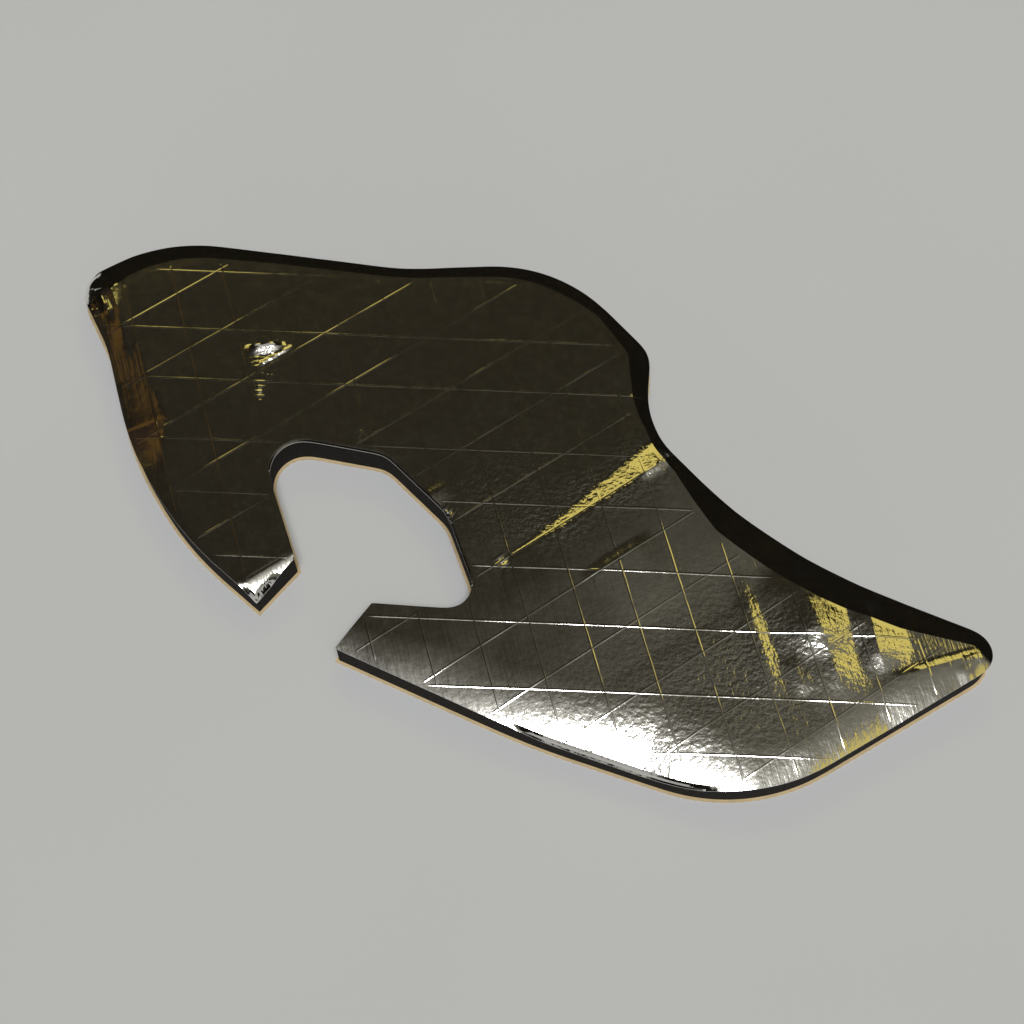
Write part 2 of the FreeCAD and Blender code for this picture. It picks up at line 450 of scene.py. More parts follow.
def resampled(run):
    """An open run of points again, evenly spaced."""
    lengths = np.linalg.norm(np.diff(run, axis=0), axis=1)
    travel = np.concatenate(((0.0,), np.cumsum(lengths)))
    count = max(2, round(travel[-1] / OUTLINE_STEP)) + 1
    at = np.linspace(0.0, travel[-1], count)
    return np.stack([np.interp(at, travel, run[:, axis]) for axis in range(2)], axis=1)


def blurred(run):
    """An open run with its facets smoothed out and its ends held."""
    sigma = OUTLINE_BLUR / OUTLINE_STEP
    reach = min(int(3 * sigma), len(run) - 1)
    before = 2 * run[0] - run[reach:0:-1]
    after = 2 * run[-1] - run[-2:-reach - 2:-1]
    padded = np.concatenate((before, run, after))
    weights = np.exp(-0.5 * (np.arange(-reach, reach + 1) / sigma) ** 2)
    weights /= weights.sum()
    smooth = [np.convolve(padded[:, axis], weights, mode="valid") for axis in range(2)]
    smooth = np.stack(smooth, axis=1)
    smooth[0] = run[0]
    smooth[-1] = run[-1]
    return smooth


def rim_profile(outline):
    """Roll width, drop, curl and edge height at each outline point, from the stations."""
    count = len(outline.points)
    steps = np.linalg.norm(np.roll(outline.points, -1, axis=0) - outline.points, axis=1)
    start = int(np.nonzero(~outline.pressed & np.roll(outline.pressed, -1))[0][0]) + 1
    order = (np.arange(count) + start) % count
    travel = np.empty(count)
    travel[order] = np.concatenate(((0.0,), np.cumsum(steps[order])[:-1]))
    stations = []
    for name, x, y, *roll in RIM_STATIONS:
        near = outline.tree.find((x, y, 0.0))[1]
        stations.append((travel[near], *roll, CURLED_EDGES.get(name, PLAIN_EDGE)))
    at, *columns = np.array(sorted(stations)).T
    return np.stack([np.interp(travel, at, column) for column in columns], axis=1)


def eased(values, low, high):
    """A smooth step from 0 at low to 1 at high."""
    share = np.clip((values - low) / (high - low), 0.0, 1.0)
    return share * share * (3 - 2 * share)


def leg_bend(points):
    """The hooked leg's tip, bent down along the yarn that crosses it."""
    past = np.clip(LEG_CREST - points @ across(STEEP_WEFT_ANGLE), 0.0, None)
    on_leg = eased(points[:, 0], *LEG_FROM_X) * eased(points[:, 1], *LEG_FROM_Y)
    return -(LEG_SLOPE * past + LEG_SLOPE_GROWTH * past ** 2) * on_leg


def waist_fold(points):
    """The low fold across the waist: a long back slope, a sharp crest and a low front."""
    past = points @ across(STEEP_WEFT_ANGLE) - WAIST_CREST
    spread = np.clip((points[:, 0] - WAIST_BACK_START) / WAIST_BACK_RUN, 0.0, 1.0)
    width = WAIST_BACK_WIDTH * spread + LEAST_WIDTH
    back = 1.0 - np.clip(past / width, 0.0, 1.0)
    front = np.clip(1.0 + past / WAIST_FRONT_LENGTH, 0.0, 1.0)
    return WAIST_BACK_SLOPE * width * np.where(past > 0, back, front)


def from_crest(points, x, y, angle):
    """Distances of plan points from a crest's middle, along the crest and across it."""
    away = points - (x, y)
    turn = math.radians(angle)
    return away @ along(turn), away @ across(turn)


def creases(points):
    """The sharp low creases of the foil."""
    height = np.zeros(len(points))
    for _, x, y, angle, half, left, right, rise in CREASES:
        run, side = from_crest(points, x, y, angle)
        slope = 1.0 - np.where(side > 0, side / left, -side / right)
        ends = 1.0 - eased(np.abs(run), CREST_LEVEL * half, half)
        height += rise * np.clip(slope, 0.0, 1.0) * ends
    return height


def wrinkles(points):
    """The patches of short fine wrinkles."""
    height = np.zeros(len(points))
    for _, x, y, angle, reach_along, reach_across, spacing, rise in WRINKLES:
        run, side = from_crest(points, x, y, angle)
        patch = np.exp(-(run / reach_along) ** 2 - (side / reach_across) ** 2)
        wander = WANDER * np.sin(WANDER_ALONG * run + WANDER_ACROSS * side)
        height += rise * patch * np.sin(2 * math.pi * side / spacing + wander)
    return height


def crinkle_share(points):
    """How much the foil's fine crinkle shows at plan points."""
    share = np.full(len(points), EVEN_GRAIN)
    for _, x, y, reach_x, reach_y, amount in CRUMPLED_PLACES:
        apart = ((points[:, 0] - x) / reach_x) ** 2 + ((points[:, 1] - y) / reach_y) ** 2
        share += amount * np.exp(-apart)
    return share


def off_far_roll(points, outline, rim):
    """1 at plan points clear of the roll of the edges that face the back, and 0 on it."""
    near, depth = outline.nearest(points, pressed_only=True)
    on_far_side = outline.normals[near][:, 1] > FACES_BACK
    start, end = (rim[near, 0] + fade for fade in ROLL_FADE)
    covered = 1.0 - eased(depth, start, end)
    return 1.0 - covered * on_far_side


def ridge_share(points, outline, rim):
    """How much the yarns show at plan points: not on the far roll, nor at the cut itself."""
    return off_far_roll(points, outline, rim) * eased(outline.nearest(points)[1], *CUT_FADE)


def slack_waves(points):
    """The foil's slackness between the yarns: long shallow waves."""
    families = (WARP_ANGLE, FLAT_WEFT_ANGLE, STEEP_WEFT_ANGLE)
    places = [points @ across(angle) for angle in families]
    height = np.zeros(len(points))
    for rise, *rates, phase in SLACK_WAVES:
        height += rise * np.sin(np.dot(rates, places) + phase)
    return height


def foil_height(points, outline, rim):
    """Height of the foil's top at plan points."""
    near, depth = outline.nearest(points, pressed_only=True)
    width, drop, curl, edge = rim[near].T
    foil_top = FOAM_TOP + bpy.context.scene.pad_foil.thickness / MM
    shape = leg_bend(points) + waist_fold(points) + slack_waves(points)
    shape += creases(points) + wrinkles(points)
    roll = drop * np.clip(1.0 - depth / width, 0.0, None) ** curl
    height = foil_top + shape - roll
    fall = np.clip(1.0 - depth / EDGE_CURL_WIDTH, 0.0, 1.0) ** 2
    cut, cut_depth = outline.nearest(points)
    faces_front = ~outline.pressed[cut] & (outline.normals[cut][:, 1] < 0.0)
    turned = np.clip(1.0 - cut_depth / NOTCH_BURR_WIDTH, 0.0, None) ** 2
    return height + np.minimum(edge - height, 0.0) * fall - NOTCH_BURR * turned * faces_front


def hex_points(outline, spacing, inset):
    """Points of an even triangular grid, at least the inset inside the outline."""
    low = outline.points.min(axis=0)
    high = outline.points.max(axis=0)
    row_step = spacing * math.sqrt(0.75)
    rows = []
    for index in range(int((high[1] - low[1]) / row_step) + 1):
        shift = spacing / 2 * (index % 2)
        xs = np.arange(low[0] + shift, high[0], spacing)
        rows.append(np.stack((xs, np.full(len(xs), low[1] + index * row_step)), axis=1))
    points = np.concatenate(rows)
    return points[outline.nearest(points)[1] > inset]


def fine_points(outline):
    """Points of a finer grid over the wrinkled patches."""
    points = hex_points(outline, FINE_STEP, FINE_INSET)
    within_reach = np.zeros(len(points), bool)
    for _, x, y, reach in FINE_PATCHES:
        within_reach |= np.linalg.norm(points - (x, y), axis=1) < reach
    return points[within_reach]


def triangulated(boundary, inner, lines=()):
    """A plan triangulation of a closed boundary with inner points and crease lines."""
    loop = list(range(len(boundary)))
    edges = list(zip(loop, loop[1:] + loop[:1]))
    used = len(boundary)
    for line in lines:
        edges += [(used + index, used + index + 1) for index in range(len(line) - 1)]
        used += len(line)
    coordinates = [Vector((x, y)) for x, y in np.concatenate((boundary, *lines, inner))]
    found = delaunay_2d_cdt(coordinates, edges, [], 0, MERGE_WITHIN, False)
    points = np.array([tuple(point) for point in found[0]])
    faces = np.array(found[2])
    faces = faces[within(boundary, points[faces].mean(axis=1))]
    one = points[faces[:, 1]] - points[faces[:, 0]]
    two = points[faces[:, 2]] - points[faces[:, 0]]
    turned = one[:, 0] * two[:, 1] < one[:, 1] * two[:, 0]
    faces[turned] = faces[turned][:, ::-1]
    return points, [tuple(face) for face in faces.tolist()]


def within(boundary, points):
    """Whether each point is inside a closed boundary, by counting crossings."""
    inside = np.zeros(len(points), bool)
    for start, end in zip(boundary, np.roll(boundary, -1, axis=0)):
        if start[1] == end[1]:
            continue
        spans = (start[1] > points[:, 1]) != (end[1] > points[:, 1])
        share = (points[:, 1] - start[1]) / (end[1] - start[1])
        inside ^= spans & (points[:, 0] < start[0] + share * (end[0] - start[0]))
    return inside


def inner_ring(outline, depths):
    """Outline points moved inwards, without those that another stretch is nearer to."""
    points = outline.grown(-depths)
    away = np.array([outline.tree.find((x, y, 0.0))[2] for x, y in points])
    return points[away > depths - RING_SLACK]


def split_runs(points, reach):
    """A row of points cut where neighbours are further apart than the reach."""
    apart = np.linalg.norm(np.diff(points, axis=0), axis=1)
    cuts = np.nonzero(apart > reach)[0] + 1
    return [run for run in np.split(points, cuts) if len(run) > 1]


def crest_lines(outline, spacing):
    """Rows of points along the foil's crests, where they are well inside the outline."""
    rows = []
    for _, x, y, angle, half, *_ in CREASES:
        rows.append(((x, y), math.radians(angle), -half, half))
    for crest, ends in ((WAIST_CREST, WAIST_CREST_ENDS), (LEG_CREST, LEG_CREST_ENDS)):
        rows.append((across(STEEP_WEFT_ANGLE) * crest, STEEP_WEFT_ANGLE, *ends))
    lines = []
    for middle, angle, start, end in rows:
        steps = np.linspace(start, end, int((end - start) / spacing) + 1)
        points = middle + steps[:, None] * along(angle)
        inner = points[outline.nearest(points)[1] > CREST_INSET]
        lines += split_runs(inner, 2 * spacing)
    return lines


def clear_of(points, others, gap):
    """The points that keep a gap to all the others."""
    tree = plan_tree(others, range(len(others)))
    away = np.array([tree.find((x, y, 0.0))[2] for x, y in points])
    return points[away > gap]


def rim_edges(faces):
    """The directed edges that only one face uses."""
    used = set()
    for face in faces:
        for start, end in zip(face, face[1:] + face[:1]):
            used.add((start, end))
    return [(start, end) for start, end in used if (end, start) not in used]


def closed_slab(points, faces, top, bottom):
    """Vertices and faces of a slab between two heights over one triangulation."""
    count = len(points)
    upper = np.column_stack((points, top))
    lower = np.column_stack((points, bottom))
    slab = list(faces)
    slab += [(c + count, b + count, a + count) for a, b, c in faces]
    slab += [(end, start, start + count, end + count) for start, end in rim_edges(faces)]
    return np.concatenate((upper, lower)), slab


def add_piece(name, points, faces, material, crease=0.0):
    """A mesh object at the origin, from points in millimetres, sharp past the crease angle."""
    mesh = bpy.data.meshes.new(name)
    mesh.from_pydata([tuple(point * MM) for point in points], [], faces)
    mesh.validate()
    mesh.polygons.foreach_set("use_smooth", [crease > 0.0] * len(mesh.polygons))
    mesh.set_sharp_from_angle(angle=crease)
    mesh.materials.append(material)
    mesh.update()
    piece = bpy.data.objects.new(name, mesh)
    bpy.context.scene.collection.objects.link(piece)
    return piece


def new_material(name):
    """An empty node material and its Principled shader."""
    material = bpy.data.materials.new(name)
    material.use_nodes = True
    return material, material.node_tree, material.node_tree.nodes["Principled BSDF"]


def node(tree, kind, inputs=(), **settings):
    """A node with its settings, and its inputs set or linked by name or index."""
    made = tree.nodes.new(kind)
    for name, value in settings.items():
        setattr(made, name, value)
    for key, value in dict(inputs).items():
        socket = made.inputs[key]
        if isinstance(value, bpy.types.NodeSocket):
            tree.links.new(value, socket)
        else:
            socket.default_value = value
    return made


def surface_millimetres(tree, turn=0.0, stretch=(1.0, 1.0, 1.0)):
    """Object coordinates in millimetres, turned and stretched for a grain."""
    place = node(tree, "ShaderNodeTexCoord").outputs["Object"]
    scale = tuple(share / MM for share in stretch)
    turned = node(tree, "ShaderNodeMapping", {"Vector": place, "Rotation": (0.0, 0.0, turn)})
    return node(tree, "ShaderNodeMapping", {"Vector": turned.outputs[0], "Scale": scale}).outputs[0]


def noise(tree, place, scale, detail=2.0, roughness=0.5):
    """A noise texture's factor."""
    made = node(tree, "ShaderNodeTexNoise", {
        "Vector": place, "Scale": scale, "Detail": detail, "Roughness": roughness})
    return made.outputs["Fac"]


def math_node(tree, operation, *values):
    """A math node's result."""
    return node(tree, "ShaderNodeMath", dict(enumerate(values)), operation=operation).outputs[0]


def ranged(tree, value, given, wanted, **settings):
    """A value mapped from a given range to a wanted one."""
    return node(tree, "ShaderNodeMapRange", {
        "Value": value, "From Min": given[0], "From Max": given[1],
        "To Min": wanted[0], "To Max": wanted[1]}, **settings).outputs[0]


def link_shaded_colour(tree, shader, colour, shade):
    """Link a base colour that a shade darkens and lightens."""
    shaded = node(tree, "ShaderNodeVectorMath", {
        0: (*colour,), "Scale": shade}, operation="SCALE")
    tree.links.new(shaded.outputs[0], shader.inputs["Base Color"])


def bump(tree, height, distance, under=None):
    """A bump of a height field, in metres, over an earlier one."""
    inputs = {"Height": height, "Distance": distance, "Strength": 1.0}
    if under is not None:
        inputs["Normal"] = under
    return node(tree, "ShaderNodeBump", inputs).outputs["Normal"]


# The middle range of a noise texture
NOISE_RANGE = (0.3, 0.7)
# The foil: heights of its crinkle and its streaks, the streaks' stretch along the warp, and
# how much haze changes the roughness
CRINKLE_HEIGHT = 0.18 * MM
STREAK_HEIGHT = 0.027 * MM
STREAK_STRETCH = (0.12, 1.6, 1.0)
HAZE = (0.75, 1.25)
# The foam: depth of its pits, and how its colour darkens and lightens over the range of a cell:
# painted shade in the pits of the cells and painted light on their rims
PIT_DEPTH = 0.12 * MM
CELL_RANGE = (0.05, 0.6)
PIT_SHADE_RIM_LIGHT = (0.5, 1.35)
# The paper: height, direction and stretch of its fibres, and how they and the mottle shade it
FIBRE_HEIGHT = 0.02 * MM
FIBRE_ANGLE = math.radians(20)
FIBRE_STRETCH = (0.5, 3.0, 1.0)
FIBRE_RANGE = (0.7, 1.3)
FIBRE_SHADES = (0.85, 1.12)
# The floor's slight unevenness
FLOOR_SHADES = (0.985, 1.015)


def foil_finish(foil):
    """Bright rolled aluminium, finely crinkled, with streaks along the warp."""
    material, tree, shader = new_material("crinkled_foil")
    place = surface_millimetres(tree)
    streak_place = surface_millimetres(tree, -WARP_ANGLE, STREAK_STRETCH)
    crinkle = node(tree, "ShaderNodeAttribute", attribute_name=CRINKLE).outputs["Fac"]
    crumpled = math_node(tree, "MULTIPLY", noise(tree, place, scale=1.0, roughness=0.55), crinkle)
    grain = bump(tree, crumpled, CRINKLE_HEIGHT)
    streaks = bump(tree, noise(tree, streak_place, scale=1.0), STREAK_HEIGHT, grain)
    tree.links.new(streaks, shader.inputs["Normal"])
    blur = [foil.roughness * share for share in HAZE]
    haze = ranged(tree, noise(tree, place, scale=0.8), NOISE_RANGE, blur)
    tree.links.new(haze, shader.inputs["Roughness"])
    shader.inputs["Base Color"].default_value = (*foil.colour, 1.0)
    shader.inputs["Metallic"].default_value = 1.0
    return material


def foam_finish(foam):
    """Matte black closed-cell foam, cut open on its wall, with painted shade in its cell pits and
    painted light on their rims.
    """
    material, tree, shader = new_material("black_foam")
    place = surface_millimetres(tree)
    cells = node(tree, "ShaderNodeTexVoronoi", {"Vector": place, "Scale": MM / foam.cell})
    distance = cells.outputs["Distance"]
    # Painted shade and light: the colour is darkest in each cell's pit and lightest on its rim
    shade = ranged(tree, distance, CELL_RANGE, PIT_SHADE_RIM_LIGHT)
    link_shaded_colour(tree, shader, foam.colour, shade)
    tree.links.new(bump(tree, distance, PIT_DEPTH), shader.inputs["Normal"])
    shader.inputs["Roughness"].default_value = 0.9
    shader.inputs["Specular IOR Level"].default_value = 0.12
    return material


def paper_finish(paper):
    """Kraft release paper with fibres and a soft mottle."""
    material, tree, shader = new_material("kraft_paper")
    place = surface_millimetres(tree)
    fibre_place = surface_millimetres(tree, FIBRE_ANGLE, FIBRE_STRETCH)
    fibres = noise(tree, fibre_place, scale=1.2, detail=4.0, roughness=0.6)
    mottle = noise(tree, place, scale=0.25)
    shade = ranged(tree, math_node(tree, "ADD", fibres, mottle), FIBRE_RANGE, FIBRE_SHADES)
    link_shaded_colour(tree, shader, paper.colour, shade)
    tree.links.new(bump(tree, fibres, FIBRE_HEIGHT), shader.inputs["Normal"])
    shader.inputs["Roughness"].default_value = 0.75
    return material


def floor_finish(stage):
    """A plain pale floor."""
    material, tree, shader = new_material("pale_floor")
    place = node(tree, "ShaderNodeTexCoord").outputs["Object"]
    shade = ranged(tree, noise(tree, place, scale=9.0), NOISE_RANGE, FLOOR_SHADES)
    link_shaded_colour(tree, shader, stage.floor_colour, shade)
    shader.inputs["Roughness"].default_value = 0.9
    shader.inputs["Specular IOR Level"].default_value = 0.1
    return material


# The yarn families: pitch, angle, offset square to the yarns, stagger between odd and even
# yarns, how high they stand in the tail and, as a share of that, in the head, evenness, and
# where across its width a ridge is highest, from -1 to 1
YARN_FAMILIES = (
    ("steep warp", "warp_pitch", WARP_ANGLE, -4.93, 0.0, 1.1, 0.85, 0.7, -0.45),
    ("flat weft", "weft_pitch", FLAT_WEFT_ANGLE, -1.0, 0.47, 1.16, 0.58, 0.75, -0.4),
    ("steep weft", "weft_pitch", STEEP_WEFT_ANGLE, 3.72, 0.0, 0.8, 0.74, 0.3, 0.0),
)
# Half the length of a yarn and the spacing of its points, and the height from which the
# points drop onto the foil
YARN_REACH = 130 * MM
YARN_STEP = 0.6 * MM
DROP_HEIGHT = 20 * MM
# A ridge: points round it, how far it reaches into the foil and stands out of it at its sides,
# the least share of its height that is still made, and where the upper half of its round
# profile starts
RIDGE_POINTS = 14
RIDGE_FOOT = 0.03 * MM
RIDGE_SKIN = 0.008 * MM
LEAST_SHARE = 0.02
UPPER_HALF = -0.001
# Where, from the back to the front, the ridges grow to their full height, and the scale of
# their unevenness
GROWTH_Y = (12 * MM, -28 * MM)
UNEVEN_SCALE = 85.0
# Attributes of the ridges: the foil's outward direction and the share of the ridge's height
FOIL_UP = "foil_up"
SWELL = "swell"


def vector(tree, x=0.0, y=0.0, z=0.0):
    """A vector joined from three values or sockets."""
    return node(tree, "ShaderNodeCombineXYZ", {0: x, 1: y, 2: z}).outputs[0]


def stored(tree, name, kind="FLOAT"):
    """A named attribute's value."""
    return node(tree, "GeometryNodeInputNamedAttribute", {"Name": name}, data_type=kind).outputs[0]


def yarn_tree():
    """Geometry nodes that lay one family of yarn ridges over the foil."""
    tree = bpy.data.node_groups.new("yarn_ridges", "GeometryNodeTree")
    face = tree.interface
    face.new_socket("Geometry", in_out="INPUT", socket_type="NodeSocketGeometry")
    face.new_socket("Geometry", in_out="OUTPUT", socket_type="NodeSocketGeometry")
    face.new_socket("Foil", in_out="INPUT", socket_type="NodeSocketObject")
    face.new_socket("Material", in_out="INPUT", socket_type="NodeSocketMaterial")
    for name in (
            "Pitch", "Angle", "Offset", "Stagger", "Width", "Height", "Head share", "Evenness",
            "Lean"):
        face.new_socket(name, in_out="INPUT", socket_type="NodeSocketFloat")
    face.new_socket("Seed", in_out="INPUT", socket_type="NodeSocketInt")
    given = node(tree, "NodeGroupInput").outputs
    foil = node(tree, "GeometryNodeObjectInfo", {"Object": given["Foil"]}).outputs["Geometry"]
    lines = yarn_lines(tree, given)
    laid = laid_on_foil(tree, lines, foil)
    ridges = swept_ridges(tree, laid, given)
    painted = node(tree, "GeometryNodeSetMaterial", {
        "Geometry": ridges, "Material": given["Material"]}).outputs[0]
    joined = node(tree, "GeometryNodeJoinGeometry", {0: painted})
    tree.links.new(given["Geometry"], joined.inputs[0])
    whole = node(tree, "GeometryNodeRealizeInstances", {0: joined.outputs[0]}).outputs[0]
    node(tree, "NodeGroupOutput", {0: whole})
    return tree


def yarn_lines(tree, given):
    """Parallel lines of points, one for each yarn, turned to the family's angle."""
    fitting = math_node(tree, "FLOOR", math_node(tree, "DIVIDE", YARN_REACH, given["Pitch"]))
    pairs = math_node(tree, "FLOOR", math_node(tree, "DIVIDE", fitting, 2.0))
    half = math_node(tree, "MULTIPLY", pairs, 2.0)
    count = math_node(tree, "MULTIPLY_ADD", half, 2.0, 1.0)
    reach = math_node(tree, "MULTIPLY", half, given["Pitch"])
    first = math_node(tree, "SUBTRACT", given["Offset"], reach)
    starts = node(tree, "GeometryNodeMeshLine", {
        "Count": count, "Start Location": vector(tree, 0.0, first),
        "Offset": vector(tree, 0.0, given["Pitch"])}).outputs[0]
    index = node(tree, "GeometryNodeInputIndex").outputs[0]
    side = math_node(tree, "MULTIPLY_ADD", math_node(tree, "MODULO", index, 2.0), -2.0, 1.0)
    shift = vector(tree, 0.0, math_node(tree, "MULTIPLY", side, given["Stagger"]))
    starts = node(tree, "GeometryNodeSetPosition", {"Geometry": starts, "Offset": shift}).outputs[0]
    strand = node(tree, "GeometryNodeMeshLine", {
        "Count": int(2 * YARN_REACH / YARN_STEP) + 1, "Start Location": (-YARN_REACH, 0.0, 0.0),
        "Offset": (YARN_STEP, 0.0, 0.0)}).outputs[0]
    copies = node(tree, "GeometryNodeInstanceOnPoints", {"Points": starts, "Instance": strand})
    strands = node(tree, "GeometryNodeRealizeInstances", {0: copies.outputs[0]}).outputs[0]
    turn = vector(tree, 0.0, 0.0, given["Angle"])
    return node(tree, "GeometryNodeTransform", {"Geometry": strands, "Rotation": turn}).outputs[0]


def laid_on_foil(tree, lines, foil):
    """The lines dropped onto the foil, as curves, without what lies beside it."""
    above = node(tree, "GeometryNodeSetPosition", {
        "Geometry": lines, "Offset": (0.0, 0.0, DROP_HEIGHT)}).outputs[0]
    drop = node(tree, "GeometryNodeRaycast", {
        "Target Geometry": foil, "Attribute": stored(tree, RIDGE_SHARE)})
    raised = math_node(tree, "GREATER_THAN", drop.outputs["Attribute"], LEAST_SHARE)
    missed = node(tree, "FunctionNodeBooleanMath", {
        0: drop.outputs["Is Hit"], 1: raised}, operation="NAND")
    kept = node(tree, "GeometryNodeDeleteGeometry", {
        "Geometry": above, "Selection": missed.outputs[0]}).outputs[0]
    marked = node(tree, "GeometryNodeStoreNamedAttribute", {
        "Geometry": kept, "Name": RIDGE_SHARE, "Value": drop.outputs["Attribute"]}).outputs[0]
    leaning = node(tree, "GeometryNodeStoreNamedAttribute", {
        "Geometry": marked, "Name": FOIL_UP, "Value": drop.outputs["Hit Normal"]},
        data_type="FLOAT_VECTOR").outputs[0]
    laid = node(tree, "GeometryNodeSetPosition", {
        "Geometry": leaning, "Position": drop.outputs["Hit Position"]}).outputs[0]
    return node(tree, "GeometryNodeMeshToCurve", {"Mesh": laid}).outputs[0]


def ridge_profile(tree, given):
    """A flat ring across a ridge, with the share of the ridge's height stored on its points."""
    ring = node(tree, "GeometryNodeCurvePrimitiveCircle", {
        "Resolution": RIDGE_POINTS, "Radius": 1.0}).outputs[0]
    position = node(tree, "GeometryNodeInputPosition").outputs[0]
    place = node(tree, "ShaderNodeSeparateXYZ", {0: position}).outputs
    on_top = math_node(tree, "GREATER_THAN", place["Y"], UPPER_HALF)
    near_side = math_node(
        tree, "DIVIDE", math_node(tree, "ADD", place["X"], 1.0),
        math_node(tree, "ADD", given["Lean"], 1.0))
    far_side = math_node(
        tree, "DIVIDE", math_node(tree, "SUBTRACT", 1.0, place["X"]),
        math_node(tree, "SUBTRACT", 1.0, given["Lean"]))
    climb = math_node(tree, "MINIMUM", near_side, far_side)
    wave = math_node(tree, "COSINE", math_node(tree, "MULTIPLY", climb, math.pi))
    swell = math_node(tree, "MULTIPLY", math_node(tree, "MULTIPLY_ADD", wave, -0.5, 0.5), on_top)
    marked = node(tree, "GeometryNodeStoreNamedAttribute", {
        "Geometry": ring, "Name": SWELL, "Value": swell}).outputs[0]
    half_width = math_node(tree, "DIVIDE", given["Width"], 2.0)
    wide = math_node(tree, "MULTIPLY", place["X"], half_width)
    deep = math_node(tree, "MULTIPLY_ADD", on_top, RIDGE_FOOT + RIDGE_SKIN, -RIDGE_FOOT)
    return node(tree, "GeometryNodeSetPosition", {
        "Geometry": marked, "Position": vector(tree, wide, deep)}).outputs[0]


def ridge_rise(tree, given):
    """How far each point of a ridge is lifted: unevenly, and less in the head and at a cut."""
    where = node(tree, "GeometryNodeInputPosition").outputs[0]
    ahead = node(tree, "ShaderNodeSeparateXYZ", {0: where}).outputs["Y"]
    share = ranged(
        tree, ahead, GROWTH_Y, (given["Head share"], 1.0), interpolation_type="SMOOTHSTEP")
    uneven = node(tree, "ShaderNodeTexNoise", {
        "Vector": where, "W": given["Seed"], "Scale": UNEVEN_SCALE, "Detail": 1.0},
        noise_dimensions="4D").outputs["Fac"]
    highest = math_node(tree, "SUBTRACT", 2.0, given["Evenness"])
    patchy = ranged(tree, uneven, NOISE_RANGE, (given["Evenness"], highest))
    shown = stored(tree, RIDGE_SHARE)
    rise = math_node(
        tree, "MULTIPLY", math_node(tree, "MULTIPLY", stored(tree, SWELL), given["Height"]),
        math_node(tree, "MULTIPLY", share, patchy))
    sunk = math_node(tree, "MULTIPLY_ADD", shown, RIDGE_FOOT, -RIDGE_FOOT)
    return math_node(tree, "ADD", math_node(tree, "MULTIPLY", rise, shown), sunk)


def swept_ridges(tree, curves, given):
    """A soft ridge swept along each curve and lifted."""
    tangent = node(tree, "GeometryNodeInputTangent").outputs[0]
    beside = node(tree, "ShaderNodeVectorMath", {
        0: stored(tree, FOIL_UP, "FLOAT_VECTOR"), 1: tangent}, operation="CROSS_PRODUCT").outputs[0]
    upright = node(tree, "GeometryNodeSetCurveNormal", {
        "Curve": curves, "Normal": beside}, mode="FREE").outputs[0]
    swept = node(tree, "GeometryNodeCurveToMesh", {
        "Curve": upright, "Profile Curve": ridge_profile(tree, given),
        "Fill Caps": True}).outputs[0]
    lift = vector(tree, 0.0, 0.0, ridge_rise(tree, given))
    raised = node(tree, "GeometryNodeSetPosition", {
        "Geometry": swept, "Offset": lift}).outputs[0]
    return node(tree, "GeometryNodeSetShadeSmooth", {"Geometry": raised}).outputs[0]


def made_flat(context, piece):
    """Turn a piece's live modifiers into its plain mesh."""
    evaluated = piece.evaluated_get(context.evaluated_depsgraph_get())
    mesh = bpy.data.meshes.new_from_object(evaluated)
    mesh.name = piece.name
    mesh.set_sharp_from_angle(angle=SHARP_TURN)
    piece.modifiers.clear()
    piece.data = mesh


# Panels of the studio round the pad: middle and half size in azimuth and elevation, in
# degrees, and colour. Azimuth 0 is behind the pad and 90 is to its right.
STUDIO_PANELS = (
    ("warm panel, right", 47.0, 14.0, 59.5, 6.0, (0.72, 0.60, 0.16)),
    ("warm panel, behind", -2.0, 34.0, 46.5, 7.5, (0.72, 0.60, 0.16)),
    ("warm panel, front right", 98.0, 16.0, 63.0, 4.5, (0.60, 0.50, 0.14)),
    ("dim panel, left", -40.0, 9.0, 43.0, 8.0, (0.022, 0.015, 0.012)),
    ("low wall, behind", 0.0, 95.0, 0.0, 10.0, (0.42, 0.41, 0.40)),
    ("front wall, left", -137.5, 42.5, 0.0, 18.0, (0.40, 0.40, 0.40)),
    ("front wall, right", 137.5, 42.5, 0.0, 18.0, (0.40, 0.40, 0.40)),
)
# The ceiling's own colour and the direction of the key light
DARK_CEILING = (0.0065, 0.0056, 0.0040)
KEY_DIRECTION = Vector((0.03, -0.24, 0.970))
# Soft glows on the ceiling: direction of the middle, the angles from it at which the glow
# starts and is full, in degrees, and colour
SOFT_GLOWS = (
    ("olive glow, above", (-0.08, 0.42, 0.904), 34.0, 0.0, (0.0150, 0.0132, 0.0084)),
    ("silver glow, right", (0.33, -0.28, 0.902), 46.0, 20.0, (0.165, 0.160, 0.132)),
    ("brown glow, left", (-0.487, 0.354, 0.799), 10.0, 2.0, (0.085, 0.044, 0.009)),
    ("bloom of the key", KEY_DIRECTION, 24.0, 9.0, (0.60, 0.60, 0.58)),
)
# Sides of the round floor, the camera's sensor in its usual millimetres, its near limit and
# the place on the floor that it aims at
FLOOR_SIDES = 96
SENSOR_WIDTH = 36.0
CLIP_START = 10 * MM
CAMERA_AIM = (-1.666 * MM, 1.024 * MM)


def key_light(stage):
    """One broad soft white light above the camera."""
    lamp = bpy.data.lights.new("key", "SUN")
    lamp.energy = stage.key_strength
    lamp.angle = stage.key_spread
    key = bpy.data.objects.new("key", lamp)
    key.rotation_euler = KEY_DIRECTION.to_track_quat("Z", "Y").to_euler()
    bpy.context.scene.collection.objects.link(key)


